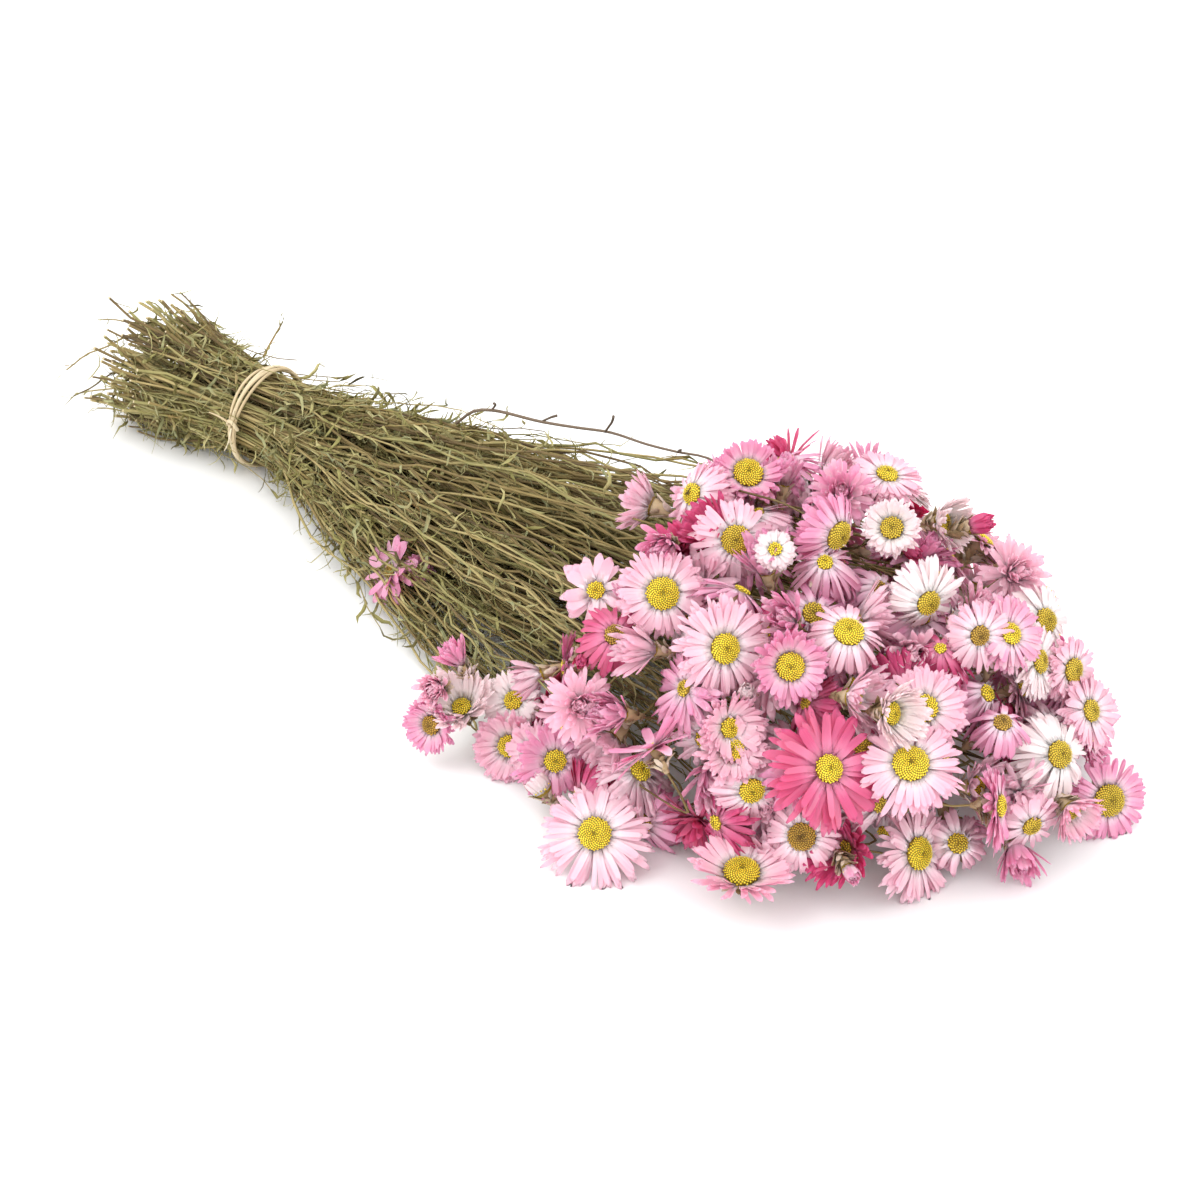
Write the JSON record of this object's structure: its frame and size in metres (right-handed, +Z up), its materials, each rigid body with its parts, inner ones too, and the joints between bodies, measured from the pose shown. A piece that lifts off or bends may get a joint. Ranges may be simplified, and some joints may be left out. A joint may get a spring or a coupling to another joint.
{
  "type": "dried everlasting daisy bunch",
  "caption": "Tied bunch of dried pink everlasting daisies lying down, with a low dome of papery flower heads and thin dry stems held by raffia.",
  "frame": {"origin": "middle of the bounding box in X and Y, on the surface that the bunch lies on", "axes": "+X along the stems from the cut ends to the flowers, +Z up, -Y towards the viewer"},
  "size_m": [0.4874, 0.2258, 0.1107],
  "materials": {
    "petals_light": "light pink papery bracts with fine lengthwise streaks, yellow disc",
    "petals_mid": "mid pink papery bracts with fine lengthwise streaks, yellow disc",
    "petals_rose": "deep rose papery bracts, yellow disc",
    "petals_white": "nearly white papery bracts with a pink tinge, yellow disc",
    "stems": "dry olive and straw coloured stems with curled narrow leaves",
    "raffia": "pale cream raffia strands"
  },
  "bodies": {
    "root": {"raffia_tie": "raffia", "stem_spray_01": "stems", "stem_spray_02": "stems", "stem_spray_03": "stems", "stem_spray_04": "stems", "stem_spray_05": "stems", "stem_spray_06": "stems", "stem_spray_07": "stems", "stem_spray_08": "stems", "stem_spray_09": "stems", "stem_spray_10": "stems", "stem_spray_11": "stems", "stem_spray_12": "stems", "flower_head_01": "petals_light", "flower_head_02": "petals_mid", "flower_head_03": "petals_light", "flower_head_04": "petals_mid", "flower_head_05": "petals_mid", "flower_head_06": "petals_light", "flower_head_07": "petals_white", "flower_head_08": "petals_white", "flower_head_09": "petals_mid", "flower_head_10": "petals_light", "flower_head_11": "petals_white", "flower_head_12": "petals_rose", "flower_head_13": "petals_white", "flower_head_14": "petals_light", "flower_head_15": "petals_mid", "flower_head_16": "petals_light", "flower_head_17": "petals_mid", "flower_head_18": "petals_mid", "flower_head_19": "petals_mid", "flower_head_20": "petals_white", "flower_head_21": "petals_mid", "flower_head_22": "petals_light", "flower_head_23": "petals_light", "flower_head_24": "petals_light", "flower_head_25": "petals_light", "flower_head_26": "petals_light", "flower_head_27": "petals_mid", "flower_head_28": "petals_white", "flower_head_29": "petals_light", "flower_head_30": "petals_light", "flower_head_31": "petals_light", "flower_head_32": "petals_rose", "flower_head_33": "petals_light", "flower_head_34": "petals_light", "flower_head_35": "petals_mid", "flower_head_36": "petals_white", "flower_head_37": "petals_light", "flower_head_38": "petals_rose", "flower_head_39": "petals_light", "flower_head_40": "petals_mid", "flower_head_41": "petals_rose", "flower_head_42": "petals_light", "flower_head_43": "petals_rose", "flower_head_44": "petals_light", "flower_head_45": "petals_mid", "flower_head_46": "petals_white", "flower_head_47": "petals_light"}
  },
  "joints": []
}
